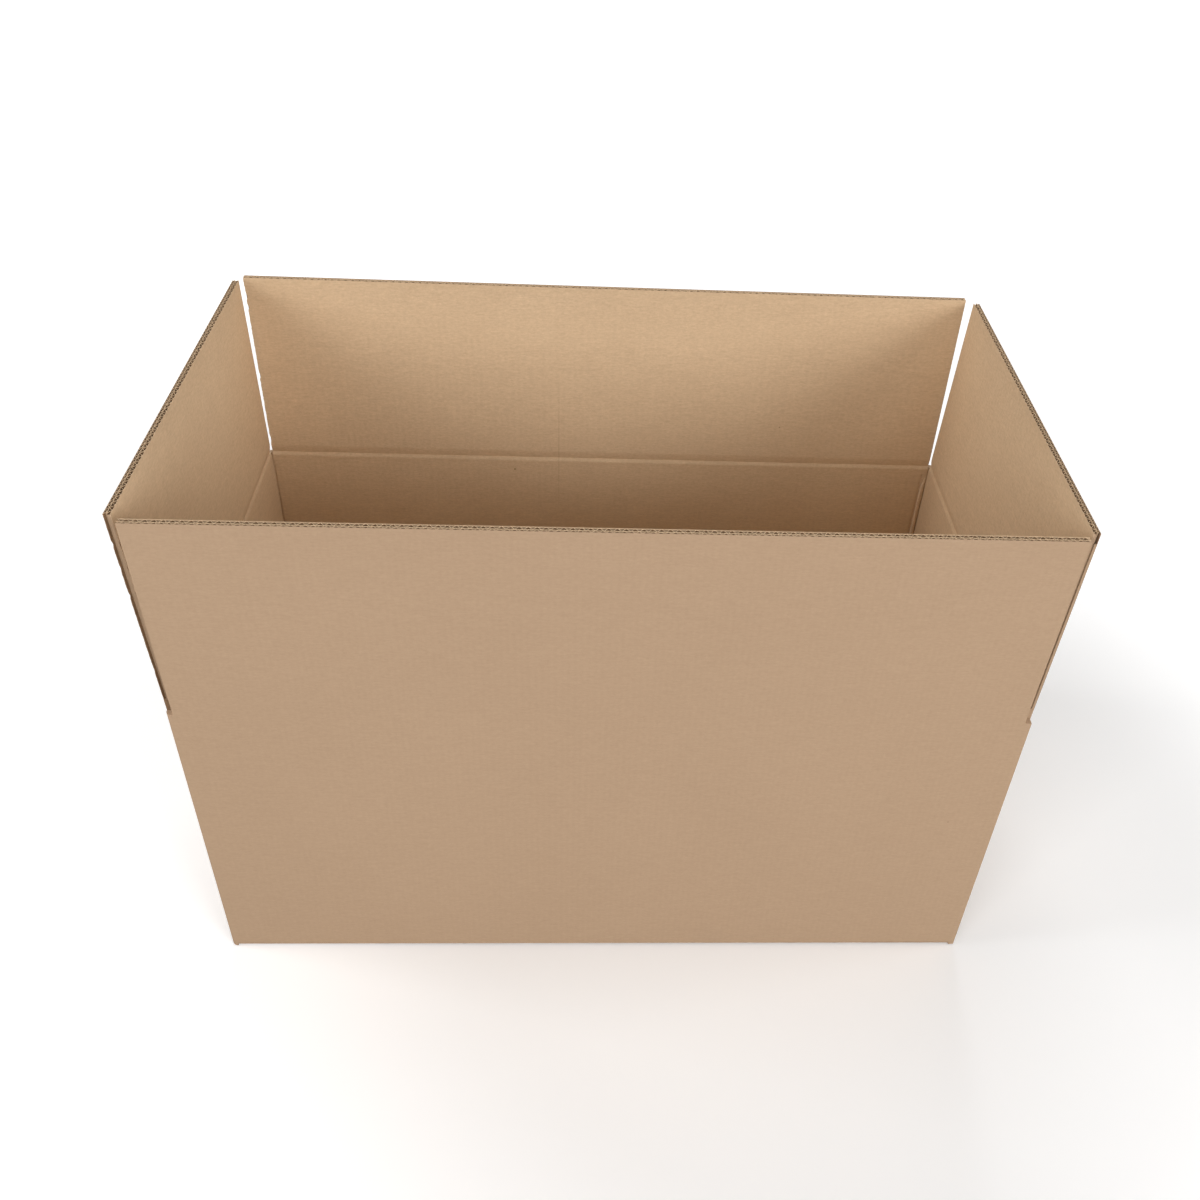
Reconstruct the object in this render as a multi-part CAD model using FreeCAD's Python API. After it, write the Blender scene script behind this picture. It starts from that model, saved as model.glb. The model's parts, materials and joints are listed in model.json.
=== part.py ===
import FreeCAD, Part
import math
import os

os.makedirs("parts", exist_ok=True)

# An open regular slotted carton of double wall corrugated board, in millimetres.
# X runs along the long walls, Y runs from the front wall to the back wall, Z is up.
# The origin is the middle of the base, on the surface that the box stands on.

# Overall size, over the outer faces of the walls
box_length = 870.0
box_width = 475.0
long_crease_height = 390.0

# The board: three liners with a fine flute outside and a coarse flute inside
liner = 0.28
medium = 0.22
fine_flute_height = 2.4
fine_flute_pitch = 6.4
coarse_flute_height = 3.6
coarse_flute_pitch = 7.8
bond_share = 0.12
open_flute_depth = 20.0
flute_end_margin = 1.0

# How far a cutting shape stands out of what it cuts
cut_overshoot = 1.0

# Folds
fold_radius = 6.0
inner_corner_radius = 1.0
crease_relief = 0.15

# Top flaps, which stand open and lean a little outwards
long_flap_lean = 1.2
short_flap_lean = 1.6
flap_meeting_gap = 1.0
flap_stack_clearance = 0.4

# Slots between neighbouring flaps
slot_clearance = 0.8
slot_post_clearance = 0.4
rear_slot_allowance = 1.2
slot_end_drop = 1.0

# Base: short flaps folded in first, long flaps under them
base_stack_clearance = 0.3
base_seam_gap = 1.0
base_short_flap_length = 237.0

# Glued lap of the manufacturer's joint, inside the front wall at its right end
lap_width = 38.0
lap_thickness = 3.6
lap_end_taper = 18.0
lap_top_clearance = 3.0
lap_base_clearance = 2.0
joint_setback = 0.8
joint_fold_radius = 3.0

# Closing tape along the base seam, pressed flush into the board
tape_width = 50.0
tape_thickness = 0.1
tape_wrap_height = 62.0

# Sizes that follow from those above
board = 3 * liner + fine_flute_height + coarse_flute_height
half_length = box_length / 2
half_width = box_width / 2
short_crease_height = long_crease_height - board - flap_stack_clearance
flap_length = (box_width - flap_meeting_gap) / 2
top_edge_height = long_crease_height + flap_length
slot_inset = board + slot_clearance
rear_slot_inset = slot_inset + rear_slot_allowance
post_inset = board + slot_post_clearance
base_short_level = board + base_stack_clearance
slot_bottom = long_crease_height - slot_end_drop


def save(shape, node):
    shape.exportStep("parts/" + node + ".step")


def prism(points, along):
    """A solid from a flat outline, drawn out along a vector."""
    outline = Part.makePolygon(points + points[:1])
    return Part.Face(outline).extrude(along)


def flute_pocket(centre, base, tip, pitch, height, top):
    """One open flute, seen at a cut edge as a triangle with its tip cut off.

    The wide side lies on the liner at depth base, the narrow side at depth tip.
    """
    bond = bond_share * pitch
    slope = math.atan2(height - medium, pitch / 2 - bond)
    wall = medium / math.sin(slope)
    wide = (pitch - bond - wall) / 2
    narrow = max(bond - wall, wall) / 2
    level = top - open_flute_depth
    corners = [
        FreeCAD.Vector(centre - wide, base, level),
        FreeCAD.Vector(centre + wide, base, level),
        FreeCAD.Vector(centre + narrow, tip, level),
        FreeCAD.Vector(centre - narrow, tip, level),
    ]
    return prism(corners, FreeCAD.Vector(0, 0, open_flute_depth + cut_overshoot))


def flute_row(start, end, outer_depth, pitch, height, top):
    """All flutes of one corrugated layer, on both sides of its wavy medium."""
    run = end - start - 2 * flute_end_margin
    count = int(run / (pitch / 2))
    first = (start + end) / 2 - (count - 1) * pitch / 4
    near = outer_depth
    far = outer_depth + height
    pockets = []
    for index in range(count):
        centre = first + index * pitch / 2
        if centre - pitch / 2 < start or centre + pitch / 2 > end:
            continue
        if index % 2:
            pockets.append(flute_pocket(centre, near, far - medium, pitch, height, top))
        else:
            pockets.append(flute_pocket(centre, far, near + medium, pitch, height, top))
    return pockets


def standing_flap(start, end, length, lean):
    """A flap on its crease line: X along it, Y inwards from its outer face, Z up.

    Its foot is cut at 45 degrees from the outer face, so that it can fold square.
    """
    section = [
        FreeCAD.Vector(start, 0, crease_relief),
        FreeCAD.Vector(start, 0, length),
        FreeCAD.Vector(start, board, length),
        FreeCAD.Vector(start, board, crease_relief + board),
    ]
    flap = prism(section, FreeCAD.Vector(end - start, 0, 0))
    fine = flute_row(start, end, liner, fine_flute_pitch, fine_flute_height, length)
    coarse_start = 2 * liner + fine_flute_height
    coarse = flute_row(start, end, coarse_start, coarse_flute_pitch, coarse_flute_height, length)
    flap = flap.cut(Part.makeCompound(fine + coarse))
    flap = flap.Solids[0]
    flap.rotate(FreeCAD.Vector(0, 0, 0), FreeCAD.Vector(1, 0, 0), lean)
    return flap


def turned(shape, angle, place):
    shape.rotate(FreeCAD.Vector(0, 0, 0), FreeCAD.Vector(0, 0, 1), angle)
    shape.translate(place)
    return shape


def long_fold(start, end):
    """Front wall and its base flap, folded from one panel, along X, with its outer face at Y 0."""
    reach = half_width - base_seam_gap / 2
    bend = fold_radius * math.sqrt(0.5)
    outer_side = Part.LineSegment(
        FreeCAD.Vector(start, 0, long_crease_height - crease_relief),
        FreeCAD.Vector(start, 0, fold_radius),
    )
    outer_fold = Part.Arc(
        FreeCAD.Vector(start, 0, fold_radius),
        FreeCAD.Vector(start, fold_radius - bend, fold_radius - bend),
        FreeCAD.Vector(start, fold_radius, 0),
    )
    rest = [
        FreeCAD.Vector(start, fold_radius, 0),
        FreeCAD.Vector(start, reach, 0),
        FreeCAD.Vector(start, reach, board),
        FreeCAD.Vector(start, board, board),
        FreeCAD.Vector(start, board, long_crease_height - crease_relief - board),
        FreeCAD.Vector(start, 0, long_crease_height - crease_relief),
    ]
    edges = [outer_side.toShape(), outer_fold.toShape()] + Part.makePolygon(rest).Edges
    section = Part.Face(Part.Wire(edges))
    return section.extrude(FreeCAD.Vector(end - start, 0, 0))


def short_fold(start, end, base_start, base_end):
    """Side wall and its base flap, along X, with its outer face at Y 0.

    Its base flap is folded in first and lies on the long ones, so this fold is higher.
    """
    level = base_short_level
    bend = fold_radius * math.sqrt(0.5)
    outer_side = Part.LineSegment(
        FreeCAD.Vector(start, 0, short_crease_height - crease_relief),
        FreeCAD.Vector(start, 0, level + fold_radius),
    )
    outer_fold = Part.Arc(
        FreeCAD.Vector(start, 0, level + fold_radius),
        FreeCAD.Vector(start, fold_radius - bend, level + fold_radius - bend),
        FreeCAD.Vector(start, fold_radius, level),
    )
    rest = [
        FreeCAD.Vector(start, fold_radius, level),
        FreeCAD.Vector(start, board, level),
        FreeCAD.Vector(start, board, short_crease_height - crease_relief - board),
        FreeCAD.Vector(start, 0, short_crease_height - crease_relief),
    ]
    edges = [outer_side.toShape(), outer_fold.toShape()] + Part.makePolygon(rest).Edges
    wall = Part.Face(Part.Wire(edges)).extrude(FreeCAD.Vector(end - start, 0, 0))
    base_flap = Part.makeBox(
        base_end - base_start,
        base_short_flap_length - fold_radius,
        board,
        FreeCAD.Vector(base_start, fold_radius, level),
    )
    return wall.fuse(base_flap)


def is_upright(edge):
    """True for a straight edge along Z."""
    first = edge.Vertexes[0].Point
    last = edge.Vertexes[-1].Point
    return abs(first.x - last.x) < 0.001 and abs(first.y - last.y) < 0.001


def corner_post(corner_x, corner_y, long_reach, short_reach):
    """The vertical fold where two walls meet, between the slots above and below.

    corner_x and corner_y are plus or minus one, for the corner that is meant.
    """
    outer = Part.makeBox(
        box_length, box_width, slot_bottom - slot_end_drop,
        FreeCAD.Vector(-half_length, -half_width, slot_end_drop),
    )
    outer = outer.makeFillet(fold_radius, [e for e in outer.Edges if is_upright(e)])
    inner = Part.makeBox(
        box_length - 2 * board, box_width - 2 * board, long_crease_height,
        FreeCAD.Vector(-half_length + board, -half_width + board, 0),
    )
    inner = inner.makeFillet(inner_corner_radius, [e for e in inner.Edges if is_upright(e)])
    ring = outer.cut(inner)
    keep_x = half_length - long_reach
    keep_y = half_width - short_reach
    corner = Part.makeBox(
        long_reach, short_reach, long_crease_height,
        FreeCAD.Vector(
            keep_x if corner_x > 0 else -half_length,
            keep_y if corner_y > 0 else -half_width,
            0,
        ),
    )
    return ring.common(corner)


def lap_corner():
    """Front right corner: the front wall ends in a cut edge, and the right wall folds behind it."""
    height = slot_bottom - slot_end_drop
    front_end = Part.makeBox(
        post_inset - joint_setback, board, height,
        FreeCAD.Vector(half_length - post_inset, -half_width, slot_end_drop),
    )
    fold = Part.makeBox(
        board, post_inset - board, height,
        FreeCAD.Vector(half_length - board, -half_width + board, slot_end_drop),
    )
    return front_end.fuse(fold)


def joint_seam():
    """The rounded outer edge of the right wall's fold, taken off behind the front wall's end."""
    edge_x = half_length + cut_overshoot
    edge_y = -half_width + board
    bend = joint_fold_radius * (1 - math.sqrt(0.5))
    start = FreeCAD.Vector(half_length - joint_fold_radius, edge_y, 0)
    middle = FreeCAD.Vector(half_length - bend, edge_y + bend, 0)
    end = FreeCAD.Vector(half_length, edge_y + joint_fold_radius, 0)
    rest = [end, FreeCAD.Vector(edge_x, end.y, 0), FreeCAD.Vector(edge_x, edge_y, 0), start]
    edges = [Part.Arc(start, middle, end).toShape()] + Part.makePolygon(rest).Edges
    outline = Part.Face(Part.Wire(edges))
    return outline.extrude(FreeCAD.Vector(0, 0, long_crease_height))


def glued_lap():
    """The lap on the front wall's inner face, with its ends cut at a slant."""
    low = base_short_level + board + lap_base_clearance
    high = short_crease_height - board - lap_top_clearance
    near = half_length - board
    far = near - lap_width
    face = -half_width + board
    outline = [
        FreeCAD.Vector(near, face, low),
        FreeCAD.Vector(near, face, high),
        FreeCAD.Vector(far, face, high - lap_end_taper),
        FreeCAD.Vector(far, face, low + lap_end_taper),
    ]
    return prism(outline, FreeCAD.Vector(0, lap_thickness, 0))


def closing_tape():
    """Tape along the base seam, drawn taut round the folds and up both side walls."""
    heel = half_length - post_inset
    centre_in = half_length - fold_radius
    centre_up = base_short_level + fold_radius
    to_centre = math.atan2(centre_up - tape_thickness, centre_in - heel)
    span = math.hypot(centre_in - heel, centre_up - tape_thickness)
    rise = to_centre - math.asin(fold_radius / span)
    across = FreeCAD.Vector(math.sin(rise), 0, -math.cos(rise))
    middle = FreeCAD.Vector(math.cos((rise - math.pi / 2) / 2), 0, math.sin((rise - math.pi / 2) / 2))
    centre = FreeCAD.Vector(centre_in, -tape_width / 2, centre_up)
    inner_radius = fold_radius
    outer_radius = fold_radius + tape_thickness
    inner_heel = FreeCAD.Vector(heel, -tape_width / 2, tape_thickness)
    outer_heel_x = heel + tape_thickness * (1 / math.sin(rise) - 1 / math.tan(rise))
    outer_heel = FreeCAD.Vector(outer_heel_x, -tape_width / 2, 0)
    inner_top = FreeCAD.Vector(half_length, -tape_width / 2, tape_wrap_height)
    outer_top = FreeCAD.Vector(half_length + tape_thickness, -tape_width / 2, tape_wrap_height)
    side = FreeCAD.Vector(1, 0, 0)
    base_inner = FreeCAD.Vector(0, -tape_width / 2, tape_thickness)
    base_outer = FreeCAD.Vector(0, -tape_width / 2, 0)
    edges = [
        Part.LineSegment(base_inner, inner_heel),
        Part.LineSegment(inner_heel, centre + across * inner_radius),
        Part.Arc(centre + across * inner_radius, centre + middle * inner_radius, centre + side * inner_radius),
        Part.LineSegment(centre + side * inner_radius, inner_top),
        Part.LineSegment(inner_top, outer_top),
        Part.LineSegment(outer_top, centre + side * outer_radius),
        Part.Arc(centre + side * outer_radius, centre + middle * outer_radius, centre + across * outer_radius),
        Part.LineSegment(centre + across * outer_radius, outer_heel),
        Part.LineSegment(outer_heel, base_outer),
        Part.LineSegment(base_outer, base_inner),
    ]
    outline = Part.Wire([edge.toShape() for edge in edges])
    half = Part.Face(outline).extrude(FreeCAD.Vector(0, tape_width, 0))
    other = half.mirror(FreeCAD.Vector(0, 0, 0), FreeCAD.Vector(1, 0, 0))
    return half.fuse(other).removeSplitter()


def folded_body():
    """Four walls, the glued lap and the closed base flaps, folded from one blank."""
    front = long_fold(-half_length + post_inset, half_length - post_inset)
    front.translate(FreeCAD.Vector(0, -half_width, 0))
    back = long_fold(-half_length + post_inset, half_length - post_inset)
    back = turned(back, 180, FreeCAD.Vector(0, half_width, 0))
    front_inset = post_inset
    rear_inset = post_inset + rear_slot_allowance
    base_half = half_width - post_inset
    left = short_fold(-half_width + rear_inset, half_width - front_inset, -base_half, base_half)
    left = turned(left, -90, FreeCAD.Vector(-half_length, 0, 0))
    right = short_fold(-half_width + front_inset, half_width - rear_inset, -base_half, base_half)
    right = turned(right, 90, FreeCAD.Vector(half_length, 0, 0))
    body = front.multiFuse([
        back,
        left,
        right,
        corner_post(-1, -1, post_inset, front_inset),
        corner_post(-1, 1, post_inset, rear_inset),
        corner_post(1, 1, post_inset, rear_inset),
        lap_corner(),
        glued_lap(),
    ])
    groove = Part.makeBox(
        2 * (half_length - post_inset), tape_width, tape_thickness,
        FreeCAD.Vector(-half_length + post_inset, -tape_width / 2, 0),
    )
    return body.cut([groove, joint_seam()]).removeSplitter()


save(folded_body().Solids[0], "folded_body")
save(closing_tape(), "base_tape")

long_end = half_length - slot_inset
long_flap = standing_flap(-long_end, long_end, flap_length, long_flap_lean)
front_flap = turned(long_flap.copy(), 0, FreeCAD.Vector(0, -half_width, long_crease_height))
back_flap = turned(long_flap.copy(), 180, FreeCAD.Vector(0, half_width, long_crease_height))
save(front_flap, "flap_front")
save(back_flap, "flap_back")

short_length = top_edge_height - short_crease_height
near_end = half_width - slot_inset
far_end = half_width - rear_slot_inset
left_flap = standing_flap(-far_end, near_end, short_length, short_flap_lean)
left_flap = turned(left_flap, -90, FreeCAD.Vector(-half_length, 0, short_crease_height))
right_flap = standing_flap(-near_end, far_end, short_length, short_flap_lean)
right_flap = turned(right_flap, 90, FreeCAD.Vector(half_length, 0, short_crease_height))
save(left_flap, "flap_left")
save(right_flap, "flap_right")
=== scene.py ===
import json
import math
import random

import bpy
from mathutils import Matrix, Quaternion, Vector


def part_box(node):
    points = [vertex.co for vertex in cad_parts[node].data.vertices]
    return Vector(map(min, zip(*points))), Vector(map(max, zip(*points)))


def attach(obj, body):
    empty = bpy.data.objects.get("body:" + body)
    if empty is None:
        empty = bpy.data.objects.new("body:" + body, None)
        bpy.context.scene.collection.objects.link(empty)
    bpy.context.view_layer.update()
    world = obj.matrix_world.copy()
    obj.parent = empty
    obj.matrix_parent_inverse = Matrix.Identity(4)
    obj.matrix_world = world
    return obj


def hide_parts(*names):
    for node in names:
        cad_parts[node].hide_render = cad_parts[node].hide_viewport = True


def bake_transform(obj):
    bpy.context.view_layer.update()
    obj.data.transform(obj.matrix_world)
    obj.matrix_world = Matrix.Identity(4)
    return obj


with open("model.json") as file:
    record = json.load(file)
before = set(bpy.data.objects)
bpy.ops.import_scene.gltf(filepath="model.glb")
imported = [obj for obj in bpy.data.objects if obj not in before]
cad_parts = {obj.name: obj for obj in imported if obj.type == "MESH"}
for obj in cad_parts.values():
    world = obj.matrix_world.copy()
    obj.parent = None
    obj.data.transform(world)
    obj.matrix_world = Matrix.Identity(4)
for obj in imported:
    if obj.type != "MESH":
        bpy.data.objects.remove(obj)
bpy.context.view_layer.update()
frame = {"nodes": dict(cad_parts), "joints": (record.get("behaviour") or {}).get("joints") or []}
joints = {joint["name"]: joint for joint in frame["joints"]}


# The walls and the closed base: one blank of double wall board, creased and folded.
# Three kraft liners hold a fine flute outside and a coarse flute inside, upright in the walls.
# At the front right corner its end, the lap, is glued to the inside of the front wall.

liner = 0.00028
medium = 0.00022
fine_height = 0.0024
fine_pitch = 0.0064
coarse_height = 0.0036
coarse_pitch = 0.0078
board = 3 * liner + fine_height + coarse_height
long_hinge = Vector(joints["front_fold"]["pos_m"])
short_hinge = Vector(joints["right_fold"]["pos_m"])
half_width = -long_hinge.y
half_length = short_hinge.x
fold_reach = 0.012

outside_brown = (0.485, 0.330, 0.212)
inside_brown = (0.675, 0.492, 0.313)
fibre_length = 0.0075
fibre_width = 0.0017
outside_contrast = 0.5
inside_contrast = 1.0
paper_roughness = 0.82
paper_shine = 0.22
cloud_scale = (7, 7, 7)
cloud_depth = 0.022
streak_depth = 0.060
band_share = 0.3
band_depth = 0.022
grain_scale = (700, 700, 700)
grain_depth = 0.035
pimple_scale = (260, 260, 420)
pimple_depth = 0.030
pimple_rise = 2.0
ripple_depth = 0.006
ripple_rise = 0.04
mark_core = 0.4
paper_relief = 0.6
paper_relief_height = 0.0010
darkest = (0.50, 0.44, 0.38)


def add_node(tree, kind, **settings):
    """A node with its settings and the values of its unlinked inputs."""
    node = tree.nodes.new(kind)
    for key, value in settings.items():
        if hasattr(node, key):
            setattr(node, key, value)
        else:
            node.inputs[key.replace("_", " ")].default_value = value
    return node


def kraft_paper(name, brown, across, pitch, contrast, marks=()):
    """Kraft liner: brown paper with its fibres across the flutes, which faintly show through.

    marks are small darker places: middle, half sizes and how dark they are.
    """
    material = bpy.data.materials.new(name)
    material.use_nodes = True
    tree = material.node_tree
    shader = tree.nodes["Principled BSDF"]
    shader.inputs["Roughness"].default_value = paper_roughness
    shader.inputs["Specular IOR Level"].default_value = paper_shine
    place = add_node(tree, "ShaderNodeTexCoord").outputs["Object"]

    def noise(stretch, detail, roughness, low, high, depth):
        """Noise on the paper, as a factor about one."""
        spread = add_node(tree, "ShaderNodeMapping")
        spread.inputs["Scale"].default_value = stretch
        cloud = add_node(tree, "ShaderNodeTexNoise", Scale=1.0, Detail=detail, Roughness=roughness)
        band = add_node(tree, "ShaderNodeMapRange")
        band.inputs["From Min"].default_value = low
        band.inputs["From Max"].default_value = high
        band.inputs["To Min"].default_value = 1 - depth * contrast
        band.inputs["To Max"].default_value = 1 + depth * contrast
        tree.links.new(place, spread.inputs["Vector"])
        tree.links.new(spread.outputs["Vector"], cloud.inputs["Vector"])
        tree.links.new(cloud.outputs["Fac"], band.inputs["Value"])
        return band.outputs["Result"]

    def combined(operation, first, second):
        """Two values put together by one sum."""
        sum_node = add_node(tree, "ShaderNodeMath", operation=operation)
        for socket, value in zip(sum_node.inputs, (first, second)):
            if isinstance(value, float):
                socket.default_value = value
            else:
                tree.links.new(value, socket)
        return sum_node.outputs["Value"]

    stretch = [1 / fibre_length if axis else 1 / fibre_width for axis in across]
    band_stretch = [scale * band_share for scale in stretch]
    clouds = noise(cloud_scale, 2.0, 0.5, 0.3, 0.7, cloud_depth)
    streaks = noise(stretch, 3.0, 0.6, 0.3, 0.7, streak_depth)
    bands = noise(band_stretch, 3.0, 0.5, 0.3, 0.7, band_depth)
    grain = noise(grain_scale, 2.0, 0.6, 0.3, 0.7, grain_depth)
    pimples = noise(pimple_scale, 2.0, 0.5, 0.35, 0.65, pimple_depth)

    wave = add_node(tree, "ShaderNodeVectorMath", operation="DOT_PRODUCT")
    wave.inputs[1].default_value = across
    tree.links.new(place, wave.inputs[0])
    phase = combined("MULTIPLY", wave.outputs["Value"], 2 * math.pi / pitch)
    ripple = combined("SINE", phase, 0.0)
    flute_shade = combined("MULTIPLY_ADD", ripple, ripple_depth)
    flute_shade.node.inputs[2].default_value = 1.0

    tone = clouds
    for layer in (streaks, bands, grain, pimples, flute_shade):
        tone = combined("MULTIPLY", tone, layer)
    for middle, halves, strength in marks:
        around = add_node(tree, "ShaderNodeMapping", vector_type="TEXTURE")
        around.inputs["Location"].default_value = middle
        around.inputs["Scale"].default_value = halves
        reach = add_node(tree, "ShaderNodeVectorMath", operation="LENGTH")
        fade = add_node(tree, "ShaderNodeMapRange")
        fade.inputs["From Min"].default_value = mark_core
        fade.inputs["To Min"].default_value = strength
        tree.links.new(place, around.inputs["Vector"])
        tree.links.new(around.outputs["Vector"], reach.inputs[0])
        tree.links.new(reach.outputs["Value"], fade.inputs["Value"])
        tone = combined("MULTIPLY", tone, fade.outputs["Result"])
    darker = combined("SUBTRACT", tone, 0.5)
    colour = add_node(tree, "ShaderNodeMix", data_type="RGBA")
    colour.inputs["A"].default_value = [part * low for part, low in zip(brown, darkest)] + [1]
    colour.inputs["B"].default_value = [part * (2 - low) for part, low in zip(brown, darkest)] + [1]
    tree.links.new(darker, colour.inputs["Factor"])
    tree.links.new(colour.outputs["Result"], shader.inputs["Base Color"])

    height = combined("ADD", streaks, grain)
    height = combined("ADD", height, combined("MULTIPLY", pimples, pimple_rise))
    height = combined("ADD", height, combined("MULTIPLY", ripple, ripple_rise))
    bump = add_node(tree, "ShaderNodeBump", Strength=paper_relief, Distance=paper_relief_height)
    tree.links.new(height, bump.inputs["Height"])
    tree.links.new(bump.outputs["Normal"], shader.inputs["Normal"])
    return material


across_long = (1.0, 0.0, 0.0)
across_short = (0.0, 1.0, 0.0)
front_marks = (((0.3796, -0.2375, 0.2325), (0.0012, 0.002, 0.0012), 0.70),)
back_marks = (
    ((-0.0612, 0.2307, 0.405), (0.0011, 0.02, 0.115), 0.90),
    ((-0.1183, 0.2307, 0.3721), (0.0016, 0.002, 0.0016), 0.50),
    ((0.2219, 0.2307, 0.4446), (0.0012, 0.02, 0.0012), 0.62),
)
long_outside = kraft_paper("kraft_outside_long", outside_brown, across_long, fine_pitch,
                           outside_contrast, front_marks)
short_outside = kraft_paper("kraft_outside_short", outside_brown, across_short, fine_pitch,
                            outside_contrast)
long_inside = kraft_paper("kraft_inside_long", inside_brown, across_long, coarse_pitch,
                          inside_contrast, back_marks)
short_inside = kraft_paper("kraft_inside_short", inside_brown, across_short, coarse_pitch,
                           inside_contrast)


def select_only(piece):
    """Makes one piece the only selected one, and the active one."""
    bpy.ops.object.select_all(action="DESELECT")
    piece.select_set(True)
    bpy.context.view_layer.objects.active = piece


def combine(piece, other, operation):
    """Changes the piece by another shape, which is used up."""
    select_only(piece)
    cut = piece.modifiers.new("cut", "BOOLEAN")
    cut.operation = operation
    cut.solver = "EXACT"
    cut.object = other
    bpy.ops.object.modifier_apply(modifier=cut.name)
    bpy.data.objects.remove(other)


def cut_away(piece, cutter):
    """Takes the cutter's shape out of the piece."""
    combine(piece, cutter, "DIFFERENCE")


def unite(piece, other):
    """Makes the other shape part of the piece."""
    combine(piece, other, "UNION")


def block(name, low, high):
    """A plain block between two corners, to cut with or to start from."""
    middle = (Vector(low) + Vector(high)) / 2
    size = Vector(high) - Vector(low)
    bpy.ops.object.select_all(action="DESELECT")
    bpy.ops.mesh.primitive_cube_add(size=1, location=middle, scale=size)
    piece = bpy.context.object
    piece.name = name
    piece.data.name = name
    bpy.ops.object.transform_apply(location=True, rotation=True, scale=True)
    return piece


def cut_up(piece, direction, cuts):
    """Divides all edges of a block that run along x, y or z."""
    select_only(piece)
    bpy.ops.object.mode_set(mode="EDIT")
    bpy.ops.mesh.select_mode(type="EDGE")
    bpy.ops.mesh.select_all(action="DESELECT")
    bpy.ops.object.mode_set(mode="OBJECT")
    for edge in piece.data.edges:
        ends = [piece.data.vertices[index].co for index in edge.vertices]
        edge.select = abs(getattr(ends[0] - ends[1], direction)) > 0.00001
    bpy.ops.object.mode_set(mode="EDIT")
    bpy.ops.mesh.subdivide(number_cuts=cuts)
    bpy.ops.mesh.select_mode(type="VERT")
    bpy.ops.object.mode_set(mode="OBJECT")


same_place = 0.000001
clear = 0.002

walls = frame["nodes"]["folded_body"].copy()
walls.data = walls.data.copy()
walls.parent = None
walls.name = "walls_and_base"
walls.data.name = "walls_and_base"
for key in list(walls.keys()):
    del walls[key]
bpy.context.scene.collection.objects.link(walls)
select_only(walls)
bpy.ops.object.mode_set(mode="EDIT")
bpy.ops.mesh.select_all(action="SELECT")
bpy.ops.mesh.remove_doubles(threshold=same_place)
bpy.ops.object.mode_set(mode="OBJECT")

flap_boxes = {side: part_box("flap_" + side) for side in ("front", "back", "left", "right")}
long_start = flap_boxes["front"][0].x
long_end = flap_boxes["front"][1].x
short_start = flap_boxes["left"][0].y
short_end = flap_boxes["left"][1].y
for side in (-1, 1):
    outer = side * (half_width + clear)
    inner = side * (half_width - board - clear)
    cut_away(walls, block(
        "long_crease_room",
        (long_start, min(outer, inner), long_hinge.z - fold_reach),
        (long_end, max(outer, inner), long_hinge.z + clear),
    ))
    outer = side * (half_length + clear)
    inner = side * (half_length - board - clear)
    cut_away(walls, block(
        "short_crease_room",
        (min(outer, inner), short_start, short_hinge.z - fold_reach),
        (max(outer, inner), short_end, short_hinge.z + clear),
    ))

inner_x = half_length - board
inner_y = half_width - board
base_gap = 0.0003
floor_level = 2 * board + base_gap
groove_radius = 0.0016
bead_half = 0.0034
bead_height = 0.0024
bead_top = 0.372
bead_taper = 0.014
bead_tip = 0.3
bead_groove_radius = 0.0012


def upright_rod(x, y, wide, deep, low, top):
    """An upright rod with an oval section, to cut a groove with or to be a bead."""
    bpy.ops.object.select_all(action="DESELECT")
    bpy.ops.mesh.primitive_cylinder_add(
        vertices=16, radius=1, depth=top - low,
        location=(x, y, (low + top) / 2), scale=(wide, deep, 1)
    )
    rod = bpy.context.object
    bpy.ops.object.transform_apply(location=True, rotation=True, scale=True)
    return rod


# The back right fold missed its score by a few millimetres and stands up as a rounded bead.
bead_foot = floor_level - board / 2
bead = upright_rod(inner_x - bead_half, inner_y, bead_half, bead_height, bead_foot, bead_top)
bpy.ops.object.mode_set(mode="EDIT")
bpy.ops.mesh.select_all(action="SELECT")
bpy.ops.mesh.bisect(plane_co=(0, 0, bead_top - bead_taper), plane_no=(0, 0, 1))
bpy.ops.mesh.select_all(action="DESELECT")
bpy.ops.object.mode_set(mode="OBJECT")
for vertex in bead.data.vertices:
    vertex.select = vertex.co.z > bead_top - 0.0001
bpy.ops.object.mode_set(mode="EDIT")
bpy.ops.transform.resize(value=(bead_tip, bead_tip, 1), center_override=(inner_x, inner_y, bead_top))
bpy.ops.object.mode_set(mode="OBJECT")
unite(walls, bead)

# The scoring wheel pressed a line into the inside of each fold, and along the bead's far side.
for x, y, radius in (
    (-inner_x, inner_y, groove_radius),
    (-inner_x, -inner_y, groove_radius),
    (inner_x, inner_y, bead_groove_radius),
    (inner_x - 2 * bead_half - groove_radius / 2, inner_y, groove_radius),
):
    cut_away(walls, upright_rod(x, y, radius, radius, floor_level, long_hinge.z))

walls.data.materials.clear()
for paper in (long_outside, short_outside, long_inside, short_inside):
    walls.data.materials.append(paper)
for face in walls.data.polygons:
    middle = face.center
    normal = face.normal
    inside = abs(middle.x) < inner_x + groove_radius + 0.0001
    inside = inside and abs(middle.y) < inner_y + groove_radius + 0.0001
    inside = inside and middle.z > board - 0.0002
    short = abs(normal.x) > abs(normal.y)
    if abs(normal.z) > 0.7:
        short = middle.z > board + 0.0001
    face.material_index = 2 * inside + short
    face.use_smooth = max(abs(part) for part in normal) < 0.999
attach(walls, "carton")
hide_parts("folded_body")


# The top flaps: the blank's own board, standing up from the walls' top creases.
# The board is cut square at the top, where both rows of flutes lie open, and slotted at the corners.
# The flutes are strong brown paper, glued to the liners at each crest.

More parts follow.
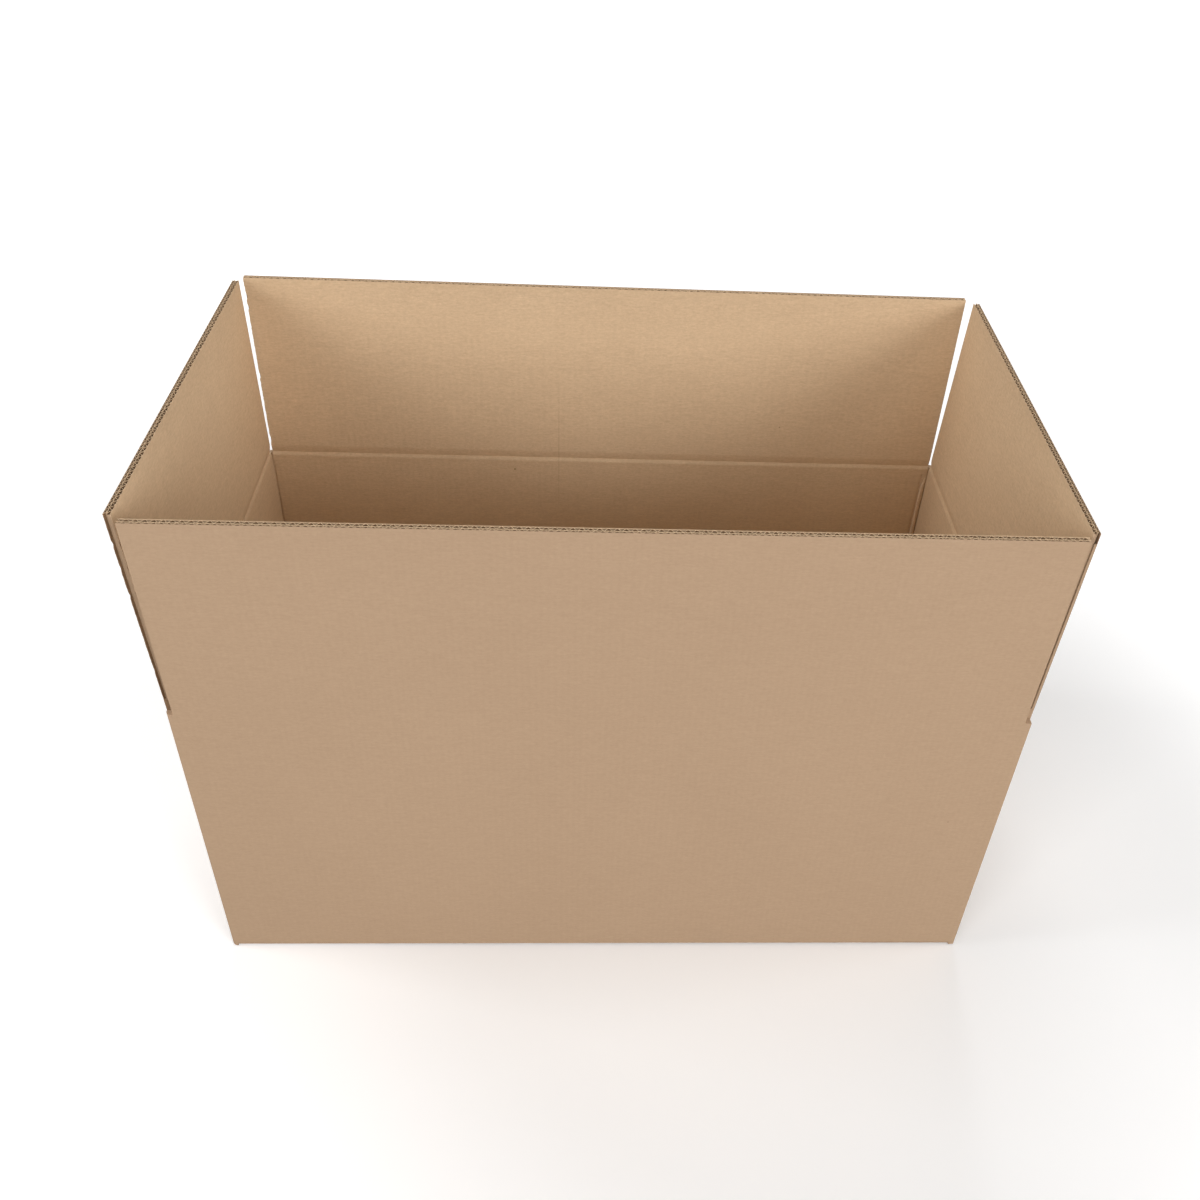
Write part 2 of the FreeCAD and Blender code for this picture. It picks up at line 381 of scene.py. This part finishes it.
fluting_brown = (0.27, 0.165, 0.092)
fluting_roughness = 0.9
fluting_shine = 0.15
fluting_grain = 420.0
fluting_mottle = 0.4
flute_steps = 10
long_lean = math.asin(-(flap_boxes["front"][0].y + half_width) / (flap_boxes["front"][1].z - long_hinge.z))
short_lean = math.asin((flap_boxes["right"][1].x - half_length) / (flap_boxes["right"][1].z - short_hinge.z))
flap_meeting_gap = 0.001
long_height = half_width - flap_meeting_gap / 2
short_height = long_hinge.z + long_height - short_hinge.z
long_foot = fold_reach
short_foot = 0.020
torn_rows = 80
fray = 0.0005
left_tears = ((0.211, 0.004, 0.0020), (0.184, 0.003, 0.0014), (0.152, 0.004, 0.0022), (0.06, 0.006, 0.001))
back_tears = ((0.214, 0.005, 0.0016), (0.200, 0.004, 0.0014), (0.110, 0.005, 0.0012), (0.020, 0.006, 0.0014))
pinch_depth = 0.0012
pinch_open = 0.012
pinch_set_back = 0.0001
pinch_below_lip = 0.001
pinch_gap = 0.0012
liner_columns = 24
liner_rows = 12
lip_height = 0.0004
lip_liner = 0.00034
lip_medium = 0.00028
long_leans = (long_lean, long_lean)
left_leans = (math.radians(0.5), short_lean)
right_leans = (math.radians(1.15), short_lean)


def fluting_paper():
    """Fluting medium: darker, coarser brown paper than the liners."""
    material = bpy.data.materials.new("fluting_paper")
    material.use_nodes = True
    tree = material.node_tree
    shader = tree.nodes["Principled BSDF"]
    shader.inputs["Roughness"].default_value = fluting_roughness
    shader.inputs["Specular IOR Level"].default_value = fluting_shine
    place = add_node(tree, "ShaderNodeTexCoord")
    cloud = add_node(tree, "ShaderNodeTexNoise", Scale=fluting_grain, Detail=4.0)
    ramp = add_node(tree, "ShaderNodeMix", data_type="RGBA")
    ramp.inputs["A"].default_value = [part * (1 - fluting_mottle) for part in fluting_brown] + [1]
    ramp.inputs["B"].default_value = [part * (1 + fluting_mottle) for part in fluting_brown] + [1]
    tree.links.new(place.outputs["Object"], cloud.inputs["Vector"])
    tree.links.new(cloud.outputs["Fac"], ramp.inputs["Factor"])
    tree.links.new(ramp.outputs["Result"], shader.inputs["Base Color"])
    return material


fluting = fluting_paper()


def wavy_sheet(name, start, end, near, height, pitch, foot, top, thickness, material):
    """One fluted sheet: a single flute is shaped, then repeated along the flap and given its thickness."""
    bpy.ops.object.select_all(action="DESELECT")
    bpy.ops.mesh.primitive_grid_add(
        x_subdivisions=flute_steps, y_subdivisions=1, size=1,
        location=(start + pitch / 2, near + height / 2, (foot + top) / 2),
        rotation=(math.pi / 2, 0, 0),
    )
    sheet = bpy.context.object
    sheet.name = name
    sheet.scale = (pitch, top - foot, 1)
    bpy.ops.object.transform_apply(location=True, rotation=True, scale=True)
    swing = (height - thickness) / 2
    for step in range(flute_steps + 1):
        bpy.ops.object.mode_set(mode="EDIT")
        bpy.ops.mesh.select_all(action="DESELECT")
        bpy.ops.object.mode_set(mode="OBJECT")
        x = start + step * pitch / flute_steps
        for vertex in sheet.data.vertices:
            vertex.select = abs(vertex.co.x - x) < pitch / flute_steps / 4
        bpy.ops.object.mode_set(mode="EDIT")
        rise = swing * math.cos(2 * math.pi * step / flute_steps)
        bpy.ops.transform.translate(value=(0, rise, 0))
        bpy.ops.object.mode_set(mode="OBJECT")
    row = sheet.modifiers.new("row", "ARRAY")
    row.count = math.ceil((end - start) / pitch)
    row.use_relative_offset = False
    row.use_constant_offset = True
    row.constant_offset_displace = (pitch, 0, 0)
    row.use_merge_vertices = True
    row.merge_threshold = 10 * same_place
    bpy.ops.object.modifier_apply(modifier=row.name)
    paper = sheet.modifiers.new("paper", "SOLIDIFY")
    paper.thickness = thickness
    paper.offset = 0
    bpy.ops.object.modifier_apply(modifier=paper.name)
    bpy.ops.object.mode_set(mode="EDIT")
    bpy.ops.mesh.select_all(action="SELECT")
    bpy.ops.mesh.bisect(
        plane_co=(end, 0, 0), plane_no=(1, 0, 0), clear_outer=True, use_fill=True, threshold=same_place
    )
    bpy.ops.mesh.select_all(action="SELECT")
    bpy.ops.mesh.bisect(
        plane_co=(start, 0, 0), plane_no=(-1, 0, 0), clear_outer=True, use_fill=True, threshold=same_place
    )
    bpy.ops.object.mode_set(mode="OBJECT")
    sheet.data.materials.append(material)
    return sheet


def flat_liner(name, start, end, near, thickness, foot, top, paper, tears):
    """One flat liner. tears, where given, says how far its far end is torn back at a height."""
    sheet = block(name, (start, near, foot), (end, near + thickness, top))
    sheet.data.materials.append(paper)
    cut_up(sheet, "x", liner_columns)
    if top - foot > lip_height * 2:
        cut_up(sheet, "z", (torn_rows if tears else liner_rows) - 1)
    if tears:
        draw = random.Random(round(near * 1000000))
        waver = [draw.uniform(0, fray) for _ in range(torn_rows + 1)]
        for vertex in sheet.data.vertices:
            if vertex.co.x > end - 0.0001:
                row = round((vertex.co.z - foot) / (top - foot) * torn_rows)
                vertex.co.x -= waver[row]
                for level, reach, depth in tears:
                    share = max(0.0, 1 - abs(vertex.co.z - level) / reach)
                    vertex.co.x -= depth * share
    return sheet


def joined(pieces, name):
    """Joins pieces into one object with a new name."""
    select_only(pieces[0])
    for piece in pieces[1:]:
        piece.select_set(True)
    bpy.ops.object.join()
    piece = bpy.context.object
    piece.name = name
    piece.data.name = name
    return piece


def stand(piece, turn, place):
    """Turns a piece to its wall and puts it there."""
    select_only(piece)
    piece.rotation_euler = (0, 0, turn)
    piece.location = place
    bpy.ops.object.transform_apply(location=True, rotation=True, scale=False)


def leaned(x, start, end, leans):
    """The lean at a place along a flap, which may lean more at one end than at the other."""
    share = (x - start) / (end - start)
    return leans[0] + (leans[1] - leans[0]) * share


def top_flap(side, start, end, foot, height, leans, turn, place, papers, tears=(), pinched=()):
    """A flap's three liners and two fluted sheets, as two pieces that move together.

    Its top edge is a fuzzy lip, where the knife has roughened the paper. pinched names the end that
    the knife has pressed shut, and how far below the top the fine and coarse flutes are still open.
    """
    fine_near = liner
    middle_near = liner + fine_height
    coarse_near = middle_near + liner
    inner_near = coarse_near + coarse_height
    core_start = start + pinch_depth if "start" in pinched else start
    core_end = end - pinch_depth if "end" in pinched else end
    lip = height - lip_height
    faces = []
    core = []
    for outer_far, inner_near_side, low, high, wave_thickness, wave_paper in (
        (liner, inner_near, foot, lip, medium, fluting),
        (lip_liner, board - lip_liner, lip, height, lip_medium, papers[1]),
    ):
        torn = tears if low == foot else ()
        inner_far = board - inner_near_side
        middle = middle_near + (liner - outer_far) / 2
        faces.append(flat_liner("outer", start, end, 0, outer_far, low, high, papers[0], torn))
        faces.append(flat_liner("inner", start, end, inner_near_side, inner_far, low, high, papers[1], torn))
        core.append(flat_liner("middle", core_start, core_end, middle, outer_far, low, high, papers[1], ()))
        core.append(wavy_sheet("fine", core_start, core_end, fine_near, fine_height, fine_pitch,
                               low, high, wave_thickness, wave_paper))
        core.append(wavy_sheet("coarse", core_start, core_end, coarse_near, coarse_height, coarse_pitch,
                               low, high, wave_thickness, wave_paper))
    if pinched:
        near_x, far_x = (start, core_start) if "start" in pinched else (core_end, end)
        for near, far, opened in (
            (liner, middle_near, pinched[1]), (middle_near + pinch_gap, inner_near, pinched[2])
        ):
            if opened < height:
                faces.append(flat_liner("closed", near_x + pinch_set_back, far_x - pinch_set_back, near,
                                        far - near, foot, height - opened, papers[0], ()))
    faces = joined(faces, side + "_flap_liners")
    core = joined(core, side + "_flap_fluting")
    select_only(core)
    bpy.ops.object.shade_smooth_by_angle(angle=math.radians(50))
    for piece in (faces, core):
        for vertex in piece.data.vertices:
            angle = leaned(vertex.co.x, start, end, leans)
            depth = vertex.co.y
            level = vertex.co.z
            vertex.co.y = depth * math.cos(angle) - level * math.sin(angle)
            vertex.co.z = level * math.cos(angle) + depth * math.sin(angle)
        stand(piece, turn, place)
        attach(piece, side + "_flap")
    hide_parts("flap_" + side)


long_papers = (long_outside, long_inside)
short_papers = (short_outside, short_inside)
front_place = (0, -half_width, long_hinge.z)
back_place = (0, half_width, long_hinge.z)
left_place = (-half_length, 0, short_hinge.z)
right_place = (half_length, 0, short_hinge.z)
top_flap("front", long_start, long_end, long_foot, long_height, long_leans, 0, front_place,
         long_papers)
top_flap("back", -long_end, -long_start, long_foot, long_height, long_leans, math.pi, back_place,
         long_papers, tears=back_tears)
top_flap("left", -short_end, -short_start, short_foot, short_height, left_leans, -math.pi / 2,
         left_place, short_papers, tears=left_tears, pinched=("end", 1.0, pinch_below_lip))
top_flap("right", short_start, short_end, short_foot, short_height, right_leans, math.pi / 2,
         right_place, short_papers, pinched=("start", pinch_open, pinch_below_lip))


# The inner ends of the short base flaps, which lie on the long ones: cut edges of the same board.
# Their flutes lie open there, with the coarse ones on top.

base_level = board + base_gap
base_reach = 0.237
base_side_gap = 0.0004
base_half = half_width - board - base_side_gap - liner
open_depth = 0.020

for side, way, turn in (("left", -1, -math.pi / 2), ("right", 1, math.pi / 2)):
    wall_x = way * half_length
    room_x = sorted((way * (half_length - base_reach - clear), way * (half_length - base_reach + open_depth)))
    cut_away(walls, block(
        "flute_room",
        (room_x[0], -base_half, base_level + liner),
        (room_x[1], base_half, base_level + board - liner),
    ))
    foot = base_reach - open_depth
    core = joined([
        flat_liner("middle", -base_half, base_half, liner + fine_height, liner, foot, base_reach,
                   long_inside, ()),
        wavy_sheet("fine", -base_half, base_half, liner, fine_height, fine_pitch, foot, base_reach,
                   medium, fluting),
        wavy_sheet("coarse", -base_half, base_half, 2 * liner + fine_height, coarse_height,
                   coarse_pitch, foot, base_reach, medium, fluting),
    ], side + "_base_fluting")
    for vertex in core.data.vertices:
        vertex.co = Vector((-vertex.co.x, vertex.co.z, vertex.co.y))
    select_only(core)
    bpy.ops.object.shade_smooth_by_angle(angle=math.radians(50))
    stand(core, turn, (wall_x, 0, base_level))
    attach(core, "carton")


# The creases of the top flaps: the board is crushed along a scored line, and bends there.
# Inside, the liner dips above the line and comes up again just below it; outside it stays flat.
# They are part of the one sheet, so each strip bends between its wall and its flap.

crease_rows = 40
long_press = (0.0, 0.0027, 0.0002)
short_press = (0.008, 0.0022, 0.0001)
dip_height = 0.0118
step_height = 0.0045
bulge_height = 0.0040
open_end_foot = 0.003
press_waver = (0.85, 1.12)


def crease_profile(level, press):
    """How far the inner liner stands proud of the board at a height above the hinge."""
    line, dip, bulge = press
    above = level - line
    if above > 0:
        return -dip * max(0.0, 1 - above / dip_height) ** 1.5
    if above > -step_height:
        return -dip + (dip + bulge) * math.sin(-above / step_height * math.pi / 2)
    if above > -step_height - bulge_height:
        return bulge * math.cos((-above - step_height) / bulge_height * math.pi / 2)
    return 0.0


def crease_strip(side, start, end, foot, leans, turn, place, papers, press, slices, seed, closed_start):
    """The band of board that bends, from a block cut into rows and pressed to its profile."""
    strip = block(side + "_crease", (start, 0, -fold_reach), (end, board, foot))
    for paper in (papers[0], papers[1], fluting):
        strip.data.materials.append(paper)
    cut_up(strip, "z", crease_rows - 1)
    cut_up(strip, "x", slices)
    for face in strip.data.polygons:
        face.material_index = int(face.normal.y > 0.5)
        open_end = face.normal.x > 0.5 or (face.normal.x < -0.5 and not closed_start)
        if open_end and face.center.z > open_end_foot:
            face.material_index = 2
    draw = random.Random(seed)
    waver = [draw.uniform(*press_waver) for _ in range(slices + 2)]
    for vertex in strip.data.vertices:
        level = vertex.co.z
        share = (vertex.co.x - start) / (end - start)
        if vertex.co.y > board / 2:
            vertex.co.y += crease_profile(level, press) * waver[round(share * (slices + 1))]
        eased = min(1.0, max(0.0, level / board))
        angle = leaned(vertex.co.x, start, end, leans) * eased * eased * (3 - 2 * eased)
        depth = vertex.co.y
        vertex.co.y = depth * math.cos(angle) - level * math.sin(angle)
        vertex.co.z = level * math.cos(angle) + depth * math.sin(angle)
    select_only(strip)
    bpy.ops.object.shade_smooth_by_angle(angle=math.radians(40))
    stand(strip, turn, place)
    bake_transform(strip)


crease_strip("front", long_start, long_end, long_foot, long_leans, 0, front_place,
             long_papers, long_press, 70, 11, False)
crease_strip("back", -long_end, -long_start, long_foot, long_leans, math.pi, back_place,
             long_papers, long_press, 70, 12, False)
crease_strip("left", -short_end, -short_start, short_foot, left_leans, -math.pi / 2, left_place,
             short_papers, short_press, 40, 13, False)
crease_strip("right", short_start, short_end, short_foot, right_leans, math.pi / 2, right_place,
             short_papers, short_press, 40, 14, True)


# Closing tape along the base seam and up both ends: brown film, pressed flat on the board.
# It is drawn tight over the folds.

film_roughness = 0.28
film_dark = (0.30, 0.175, 0.080)
film_pale = (0.40, 0.245, 0.120)
pull_marks = (9, 260, 9)
film_relief = 0.25
film_relief_height = 0.0002

tape = frame["nodes"]["base_tape"]


def tape_film():
    """Brown packing film with a soft gloss and faint pull marks along it."""
    material = bpy.data.materials.new("tape_film")
    material.use_nodes = True
    tree = material.node_tree
    shader = tree.nodes["Principled BSDF"]
    shader.inputs["Roughness"].default_value = film_roughness
    place = add_node(tree, "ShaderNodeTexCoord")
    spread = add_node(tree, "ShaderNodeMapping")
    spread.inputs["Scale"].default_value = pull_marks
    cloud = add_node(tree, "ShaderNodeTexNoise", Scale=1.0, Detail=3.0)
    ramp = add_node(tree, "ShaderNodeMix", data_type="RGBA")
    ramp.inputs["A"].default_value = film_dark + (1,)
    ramp.inputs["B"].default_value = film_pale + (1,)
    tree.links.new(place.outputs["Object"], spread.inputs["Vector"])
    tree.links.new(spread.outputs["Vector"], cloud.inputs["Vector"])
    tree.links.new(cloud.outputs["Fac"], ramp.inputs["Factor"])
    tree.links.new(ramp.outputs["Result"], shader.inputs["Base Color"])
    bump = add_node(tree, "ShaderNodeBump", Strength=film_relief, Distance=film_relief_height)
    tree.links.new(cloud.outputs["Fac"], bump.inputs["Height"])
    tree.links.new(bump.outputs["Normal"], shader.inputs["Normal"])
    return material


tape.data.materials.clear()
tape.data.materials.append(tape_film())


# The floor: a wide sheet of white paper, with the box's soft shadow on it, and painted light on it.
# The camera sees it whiter than the light does, and sees a painted glow on it that is faintest right of and
# in front of the box, so that away from there the shadow is filled in and the floor meets the surround.

floor_size = 40.0
floor_white = (0.50, 0.50, 0.50)
mottle_scale = 60.0
mottle_depth = 0.005
shade_middle = (0.33, -0.12, 0.0)
shade_inner = 0.45
shade_outer = 0.85
painted_glow_at_shadow = 0.04
painted_glow_around = 0.27
far_start = 1.3
far_end = 4.0


def floor_paper():
    """Matt white paper with a very faint mottle, and a painted glow that only the camera sees.

    The painted glow is faintest about a point right of and in front of the box, where the shadow is kept, and
    fills the shadow in away from there. Far from the lamps the glow grows further, so that the floor stays
    white out to its edge.
    """
    material = bpy.data.materials.new("white_floor")
    material.use_nodes = True
    tree = material.node_tree
    paint = tree.nodes["Principled BSDF"]
    paint.inputs["Roughness"].default_value = 1.0
    paint.inputs["Specular IOR Level"].default_value = 0.0
    place = add_node(tree, "ShaderNodeTexCoord")
    cloud = add_node(tree, "ShaderNodeTexNoise", Scale=mottle_scale, Detail=2.0)
    mottle = add_node(tree, "ShaderNodeMix", data_type="RGBA")
    mottle.inputs["A"].default_value = [part * (1 - mottle_depth) for part in floor_white] + [1]
    mottle.inputs["B"].default_value = [part * (1 + mottle_depth) for part in floor_white] + [1]
    ray = add_node(tree, "ShaderNodeLightPath")
    seen = add_node(tree, "ShaderNodeMix", data_type="RGBA")
    seen.inputs["B"].default_value = (1, 1, 1, 1)
    # Painted light: an emission that only the camera sees. It is weakest right of and in front of the box,
    # where the box's shadow is kept, and stronger away from there, where it fills the shadow in.
    painted_glow = add_node(tree, "ShaderNodeEmission")
    away = add_node(tree, "ShaderNodeVectorMath", operation="DISTANCE")
    away.inputs[1].default_value = shade_middle
    painted_glow_near = add_node(tree, "ShaderNodeMapRange", interpolation_type="SMOOTHSTEP")
    painted_glow_near.inputs["From Min"].default_value = shade_inner
    painted_glow_near.inputs["From Max"].default_value = shade_outer
    painted_glow_near.inputs["To Min"].default_value = painted_glow_at_shadow
    painted_glow_near.inputs["To Max"].default_value = painted_glow_around
    painted_glow_far = add_node(tree, "ShaderNodeMapRange", interpolation_type="SMOOTHSTEP")
    painted_glow_far.inputs["From Min"].default_value = far_start
    painted_glow_far.inputs["From Max"].default_value = far_end
    painted_glow_total = add_node(tree, "ShaderNodeMath", operation="ADD")
    strength = add_node(tree, "ShaderNodeMath", operation="MULTIPLY")
    both = add_node(tree, "ShaderNodeAddShader")
    tree.links.new(place.outputs["Object"], cloud.inputs["Vector"])
    tree.links.new(cloud.outputs["Fac"], mottle.inputs["Factor"])
    tree.links.new(ray.outputs["Is Camera Ray"], seen.inputs["Factor"])
    tree.links.new(mottle.outputs["Result"], seen.inputs["A"])
    tree.links.new(seen.outputs["Result"], paint.inputs["Base Color"])
    tree.links.new(place.outputs["Object"], away.inputs[0])
    tree.links.new(away.outputs["Value"], painted_glow_near.inputs["Value"])
    tree.links.new(ray.outputs["Is Camera Ray"], strength.inputs[0])
    tree.links.new(away.outputs["Value"], painted_glow_far.inputs["Value"])
    tree.links.new(painted_glow_near.outputs["Result"], painted_glow_total.inputs[0])
    tree.links.new(painted_glow_far.outputs["Result"], painted_glow_total.inputs[1])
    tree.links.new(painted_glow_total.outputs[0], strength.inputs[1])
    tree.links.new(strength.outputs[0], painted_glow.inputs["Strength"])
    tree.links.new(paint.outputs["BSDF"], both.inputs[0])
    tree.links.new(painted_glow.outputs["Emission"], both.inputs[1])
    tree.links.new(both.outputs["Shader"], tree.nodes["Material Output"].inputs["Surface"])
    return material


bpy.ops.object.select_all(action="DESELECT")
bpy.ops.mesh.primitive_plane_add(size=floor_size, location=(0, 0, 0))
floor = bpy.context.object
floor.name = "floor"
floor.data.materials.append(floor_paper())


# Soft studio light: an even white surround, and large soft lamps far off all round the box.
# The two strongest stand low at the front left and front right, one more lights it from high behind.

surround_strength = 0.18
lamp_distance = 6.0
lamp_size = 2.4
lamp_aim = Vector((0, 0, 0.35))

world = bpy.data.worlds.new("studio")
bpy.context.scene.world = world
world.use_nodes = True
tree = world.node_tree
surround = tree.nodes["Background"]
surround.inputs["Color"].default_value = (1, 1, 1, 1)
ray = add_node(tree, "ShaderNodeLightPath")
looks = add_node(tree, "ShaderNodeMath", operation="MAXIMUM")
seen = add_node(tree, "ShaderNodeMath", operation="MAXIMUM")
level = add_node(tree, "ShaderNodeMapRange")
level.inputs["To Min"].default_value = surround_strength
level.inputs["To Max"].default_value = 1.0
tree.links.new(ray.outputs["Is Camera Ray"], looks.inputs[0])
tree.links.new(ray.outputs["Is Glossy Ray"], looks.inputs[1])
tree.links.new(looks.outputs[0], seen.inputs[0])
tree.links.new(ray.outputs["Is Transmission Ray"], seen.inputs[1])
tree.links.new(seen.outputs[0], level.inputs["Value"])
tree.links.new(level.outputs["Result"], surround.inputs["Strength"])


def softbox(name, azimuth, elevation, power):
    """A square soft lamp, its azimuth measured from the front towards the right."""
    around = math.radians(azimuth)
    above = math.radians(elevation)
    way = Vector((
        math.cos(above) * math.sin(around), -math.cos(above) * math.cos(around), math.sin(above)
    ))
    bpy.ops.object.select_all(action="DESELECT")
    bpy.ops.object.light_add(type="AREA", location=lamp_aim + lamp_distance * way)
    lamp = bpy.context.object
    lamp.name = name
    lamp.data.shape = "SQUARE"
    lamp.data.size = lamp_size
    lamp.data.energy = power
    lamp.rotation_euler = (-way).to_track_quat("-Z", "Y").to_euler()


softbox("front_left_softbox", -36, 20, 113)
softbox("front_right_softbox", 40, 20, 156)
softbox("front_high_softbox", 10, 34, 45)
softbox("left_softbox", -90, 28, 108)
softbox("right_softbox", 90, 28, 62)
softbox("back_high_softbox", 180, 50, 95)


# The camera, as the photograph was taken: above the front, a little left of the middle.

view_from = (-0.0292, -1.0822, 1.2594)
view_pitch = math.radians(39.274)
view_yaw = math.radians(-4.529)
view_roll = math.radians(3.823)
picture_size = 1200
focal_pixels = 1200.4
centre_pixel = (654.9, 583.5)

bpy.ops.object.select_all(action="DESELECT")
bpy.ops.object.camera_add(location=view_from)
camera = bpy.context.object
camera.name = "camera"
camera.rotation_mode = "QUATERNION"
camera.rotation_quaternion = (
    Quaternion((0, 0, 1), view_yaw)
    @ Quaternion((1, 0, 0), math.pi / 2 - view_pitch)
    @ Quaternion((0, 0, 1), view_roll)
)
camera.data.sensor_width = 36
camera.data.lens = focal_pixels / picture_size * camera.data.sensor_width
camera.data.shift_x = (picture_size / 2 - centre_pixel[0]) / picture_size
camera.data.shift_y = (centre_pixel[1] - picture_size / 2) / picture_size
camera.data.clip_start = 0.05
camera.data.clip_end = 60
bpy.context.scene.camera = camera
bpy.context.scene.view_settings.view_transform = "Standard"
